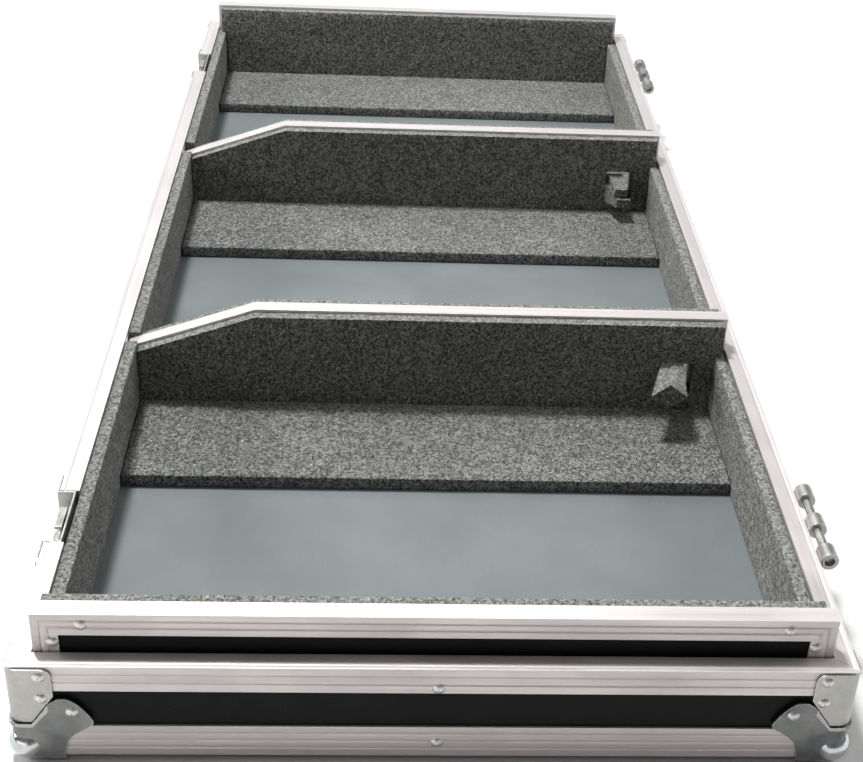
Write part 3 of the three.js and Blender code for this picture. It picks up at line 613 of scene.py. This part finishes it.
def model_rivet_head():
    """One domed head, crown up, with the small dimple of its mandrel."""
    bpy.ops.object.select_all(action="DESELECT")
    bpy.ops.mesh.primitive_uv_sphere_add(
        segments=20, ring_count=28, radius=DOME_RADIUS, location=(0, 0, DOME_HEIGHT - DOME_RADIUS))
    dome = bpy.context.object
    dome.name = "rivet_head"
    settle(dome)
    edit(dome)
    bpy.ops.mesh.select_all(action="SELECT")
    bpy.ops.mesh.bisect(plane_co=(0, 0, -DOME_SUNK), plane_no=(0, 0, 1), clear_inner=True, use_fill=True)
    leave_edit()
    pick_faces(dome, lambda centre, normal: normal.z > DIMPLE_UP and centre.xy.length < DIMPLE_REACH)
    bpy.ops.mesh.inset(thickness=DIMPLE_RIM, depth=-DIMPLE_DEPTH)
    leave_edit()
    return dome


def dress_rivets():
    """Finer heads over the plain ones, all alike, each with its own mesh, joined as one piece."""
    master = model_rivet_head()
    copies = []
    for head in HEADS:
        if head["count"] < HEAD_FACES:
            continue
        place = head["sum"] / head["count"]
        out = 1 if place[head["axis"]] > 0 else -1
        copy = bpy.data.objects.new("head", master.data.copy())
        bpy.context.scene.collection.objects.link(copy)
        place[head["axis"]] = out * head["plane"]
        way = Vector((0, 0, 0))
        way[head["axis"]] = out
        copy.rotation_euler = way.to_track_quat("Z", "Y").to_euler()
        copy.location = place
        settle(copy)
        copies.append(copy)
    bpy.data.objects.remove(master)
    bpy.ops.object.select_all(action="DESELECT")
    for copy in copies:
        copy.select_set(True)
    bpy.context.view_layer.objects.active = copies[0]
    bpy.ops.object.join()
    heads = bpy.context.object
    heads.name = "rivet_heads"
    smooth(heads, DOME_SMOOTH, flat=False)
    finish_with(heads, RIVET)
    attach(heads, frame["nodes"]["corner_brace_front_left"]["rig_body"])


def dress_ball(side, sign_y, end, sign_x):
    """A smooth ball over the faceted one of a ball corner, cut off inside the case."""
    middle = Vector((sign_x * (CASE_X - BALL_IN), sign_y * (CASE_Y - BALL_IN), BALL_UP))
    bpy.ops.object.select_all(action="DESELECT")
    bpy.ops.mesh.primitive_uv_sphere_add(segments=56, ring_count=32, radius=BALL_R, location=middle)
    ball = bpy.context.object
    ball.name = f"ball_{side}_{end}"
    settle(ball)
    inward = Vector((-sign_x, -sign_y, BALL_CUT_RISE)).normalized()
    edit(ball)
    bpy.ops.mesh.select_all(action="SELECT")
    bpy.ops.mesh.bisect(
        plane_co=middle + inward * BALL_CUT, plane_no=inward, clear_outer=True, use_fill=True)
    leave_edit()
    smooth(ball, BALL_SMOOTH, flat=False)
    finish_with(ball, BALL_ZINC)
    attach(ball, frame["nodes"][f"ball_corner_{side}_{end}"]["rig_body"])


def dress_balls():
    for side, sign_y in (("front", -1), ("rear", 1)):
        for end, sign_x in (("left", -1), ("right", 1)):
            dress_ball(side, sign_y, end, sign_x)


def on_corner_plate(centre, normal):
    return max(abs(centre.x) - CASE_X, abs(centre.y) - CASE_Y) < PLATE_REACH


def darken_lobes(piece):
    """The pressed plates of a ball corner are given a much darker zinc than its ball and its rolled
    edge.
    """
    piece.data.materials.append(LOBE_ZINC)
    pick_faces(piece, on_corner_plate)
    piece.active_material_index = 1
    bpy.ops.object.material_slot_assign()
    leave_edit()


def dress_floor():
    floor = worked_copy("floor_panel")
    round_edges(floor, FLOOR_ROUND)
    smooth(floor)
    stands_for(floor, FLOOR, "floor_panel")


def dress_walls():
    names = ["front_wall", "rear_wall", "left_end_wall", "right_end_wall"]
    names += ["raised_wall_" + end for end in ENDS] + ["divider_" + end for end in ENDS]
    for name in names:
        wall = worked_copy(name)
        round_edges(wall, WALL_ROUND)
        smooth(wall)
        stands_for(wall, LAMINATE, name)


def dress_edging():
    long_bars = ["bottom_angle_front", "bottom_angle_rear", "rim_rear"]
    long_bars += ["rim_front_" + bay for bay in BAYS]
    cross_bars = ["bottom_angle_left", "bottom_angle_right", "rim_left", "rim_right"]
    cross_bars += ["raised_cap_" + end for end in ENDS] + ["divider_cap_" + end for end in ENDS]
    for names, finish in ((long_bars, ALONG_X), (cross_bars, ALONG_Y)):
        for name in names:
            bar = worked_copy(name)
            note_heads(bar, name)
            round_edges(bar, BAR_ROUND, angle=HARD_TURN)
            smooth(bar, BAR_SMOOTH)
            stands_for(bar, finish, name)


def dress_hardware():
    names = [f"corner_brace_{side}_{end}" for side in SIDES for end in ENDS]
    names += [f"ball_corner_{side}_{end}" for side in SIDES for end in ENDS]
    names += ["hinge_leaf_" + end for end in ENDS]
    names += [f"latch_{part}_{end}" for part in ("dish", "hub", "wing", "hook") for end in ENDS]
    for name in names:
        piece = worked_copy(name)
        note_heads(piece, name)
        round_edges(piece, FITTING_ROUND, angle=HARD_TURN)
        smooth(piece, FITTING_SMOOTH)
        stands_for(piece, ZINC, name)
        if name.startswith("ball_corner"):
            darken_lobes(piece)


# Foam

def cut_across(piece, axis, step):
    """Cut a piece into even strips across one axis."""
    places = [v.co[axis] for v in piece.data.vertices]
    low, high = min(places), max(places)
    count = max(1, round((high - low) / step))
    normal = Vector((0, 0, 0))
    normal[axis] = 1
    edit(piece)
    for k in range(1, count):
        at = Vector((0, 0, 0))
        at[axis] = low + (high - low) * k / count
        bpy.ops.mesh.select_all(action="SELECT")
        bpy.ops.mesh.bisect(plane_co=at, plane_no=normal)
    leave_edit()


def foam_waver():
    clouds = bpy.data.textures.new("foam waver", "CLOUDS")
    clouds.noise_scale = WAVER_SIZE
    clouds.noise_depth = 2
    return clouds


WAVER = foam_waver()


def soften(piece):
    """Round a foam piece's edges, cut its faces up and let its surface waver a little."""
    round_edges(piece, FOAM_ROUND)
    for axis in range(3):
        cut_across(piece, axis, FOAM_STEP)
    displace = piece.modifiers.new("waver", "DISPLACE")
    displace.texture = WAVER
    displace.texture_coords = "LOCAL"
    displace.strength = FOAM_WAVER
    displace.mid_level = WAVER_LEVEL
    apply_all(piece)
    smooth(piece, FOAM_SMOOTH, flat=False)


def dress_foam():
    names = ["end_foam_" + end for end in ENDS]
    names += ["divider_foam_left_bay", "divider_foam_middle_left"]
    names += ["divider_foam_middle_right", "divider_foam_right_bay"]
    names += [f"{side}_foam_{bay}_bay" for side in SIDES for bay in BAYS]
    names += [f"floor_pad_{bay}_bay_{place}" for bay in BAYS for place in ("far", "near")]
    for name in names:
        piece = worked_copy(name)
        soften(piece)
        stands_for(piece, FOAM, name)


# Floor, light and camera

STAGE_SIZE = 14
CENTRE = (0.0, 0.0, 0.0)

# Name, place, point aimed at, width and height, watts and tint
LAMPS = (
    ("key_above", (-0.45, -0.7, 3.0), CENTRE, (0.4, 0.4), 127, (0.985, 0.995, 0.985)),
    ("far_softbox", (-3.5, -0.3, 1.9), (0.0, 0.0, 0.2), (4.0, 2.8), 30, (0.93, 0.98, 1.0)),
    ("front_softbox", (-0.35, -3.0, 1.15), CENTRE, (2.6, 1.2), 100, (1.0, 0.98, 0.95)),
    ("rear_softbox", (-0.3, 3.0, 1.9), CENTRE, (2.6, 1.6), 72, (1.0, 0.99, 0.97)),
    ("near_lamp", (2.0, -0.6, 2.1), (0.5, 0.0, 0.0), (0.2, 0.2), 4, (1.0, 0.97, 0.93)),
    ("low_strip", (1.2, -0.62, 0.09), (0.577, -0.2, 0.04), (0.8, 0.1), 0.7, (1.0, 0.87, 0.85)),
)
SKY_COLOUR = rgba(0.95, 0.97, 1.0)
SKY_STRENGTH = 0.14

# The photograph's viewpoint: turns in radians and the place of the eye
CAMERA_YAW = -0.07382
CAMERA_TILT = 0.55917
CAMERA_ROLL = 0.05635
CAMERA_PLACE = (1.25429, -0.03586, 0.66159)
CAMERA_LENS = 65.398
CAMERA_SENSOR = 36
CAMERA_SHIFT_X = -0.05544
CAMERA_SHIFT_Y = 0.04521
CAMERA_NEAR = 0.05
CAMERA_FAR = 50


def make_camera():
    up = Vector((0, 0, 1))
    ahead = Vector((-math.cos(CAMERA_YAW), -math.sin(CAMERA_YAW), 0))
    aside = Vector((-math.sin(CAMERA_YAW), math.cos(CAMERA_YAW), 0))
    look = math.cos(CAMERA_TILT) * ahead - math.sin(CAMERA_TILT) * up
    head = math.cos(CAMERA_TILT) * up + math.sin(CAMERA_TILT) * ahead
    right = math.cos(CAMERA_ROLL) * aside + math.sin(CAMERA_ROLL) * head
    top = math.cos(CAMERA_ROLL) * head - math.sin(CAMERA_ROLL) * aside
    data = bpy.data.cameras.new("photo_camera")
    data.sensor_width = CAMERA_SENSOR
    data.lens = CAMERA_LENS
    data.shift_x = CAMERA_SHIFT_X
    data.shift_y = CAMERA_SHIFT_Y
    data.clip_start = CAMERA_NEAR
    data.clip_end = CAMERA_FAR
    camera = bpy.data.objects.new("photo_camera", data)
    bpy.context.scene.collection.objects.link(camera)
    turned = Matrix((right, top, -look)).transposed().to_4x4()
    camera.matrix_world = Matrix.Translation(CAMERA_PLACE) @ turned
    bpy.context.scene.camera = camera


def make_stage():
    bpy.ops.object.select_all(action="DESELECT")
    bpy.ops.mesh.primitive_plane_add(size=STAGE_SIZE, location=(0, 0, cad_bounds[0][2]))
    ground = bpy.context.object
    ground.name = "studio_floor"
    ground.data.materials.append(pale_studio_floor())
    settle(ground)


def area_light(name, place, target, size, power, tint):
    data = bpy.data.lights.new(name, "AREA")
    data.shape = "RECTANGLE"
    data.size = size[0]
    data.size_y = size[1]
    data.energy = power
    data.color = tint
    lamp = bpy.data.objects.new(name, data)
    bpy.context.scene.collection.objects.link(lamp)
    lamp.location = place
    way = Vector(target) - Vector(place)
    lamp.rotation_euler = way.to_track_quat("-Z", "Y").to_euler()


def make_lights():
    for lamp in LAMPS:
        area_light(*lamp)
    world = bpy.data.worlds.new("studio")
    world.use_nodes = True
    sky = world.node_tree.nodes["Background"]
    sky.inputs["Color"].default_value = SKY_COLOUR
    sky.inputs["Strength"].default_value = SKY_STRENGTH
    bpy.context.scene.world = world
    bpy.context.scene.view_settings.view_transform = "Standard"


make_camera()
make_stage()
make_lights()
dress_floor()
dress_walls()
dress_edging()
dress_hardware()
dress_rivets()
dress_balls()
dress_foam()
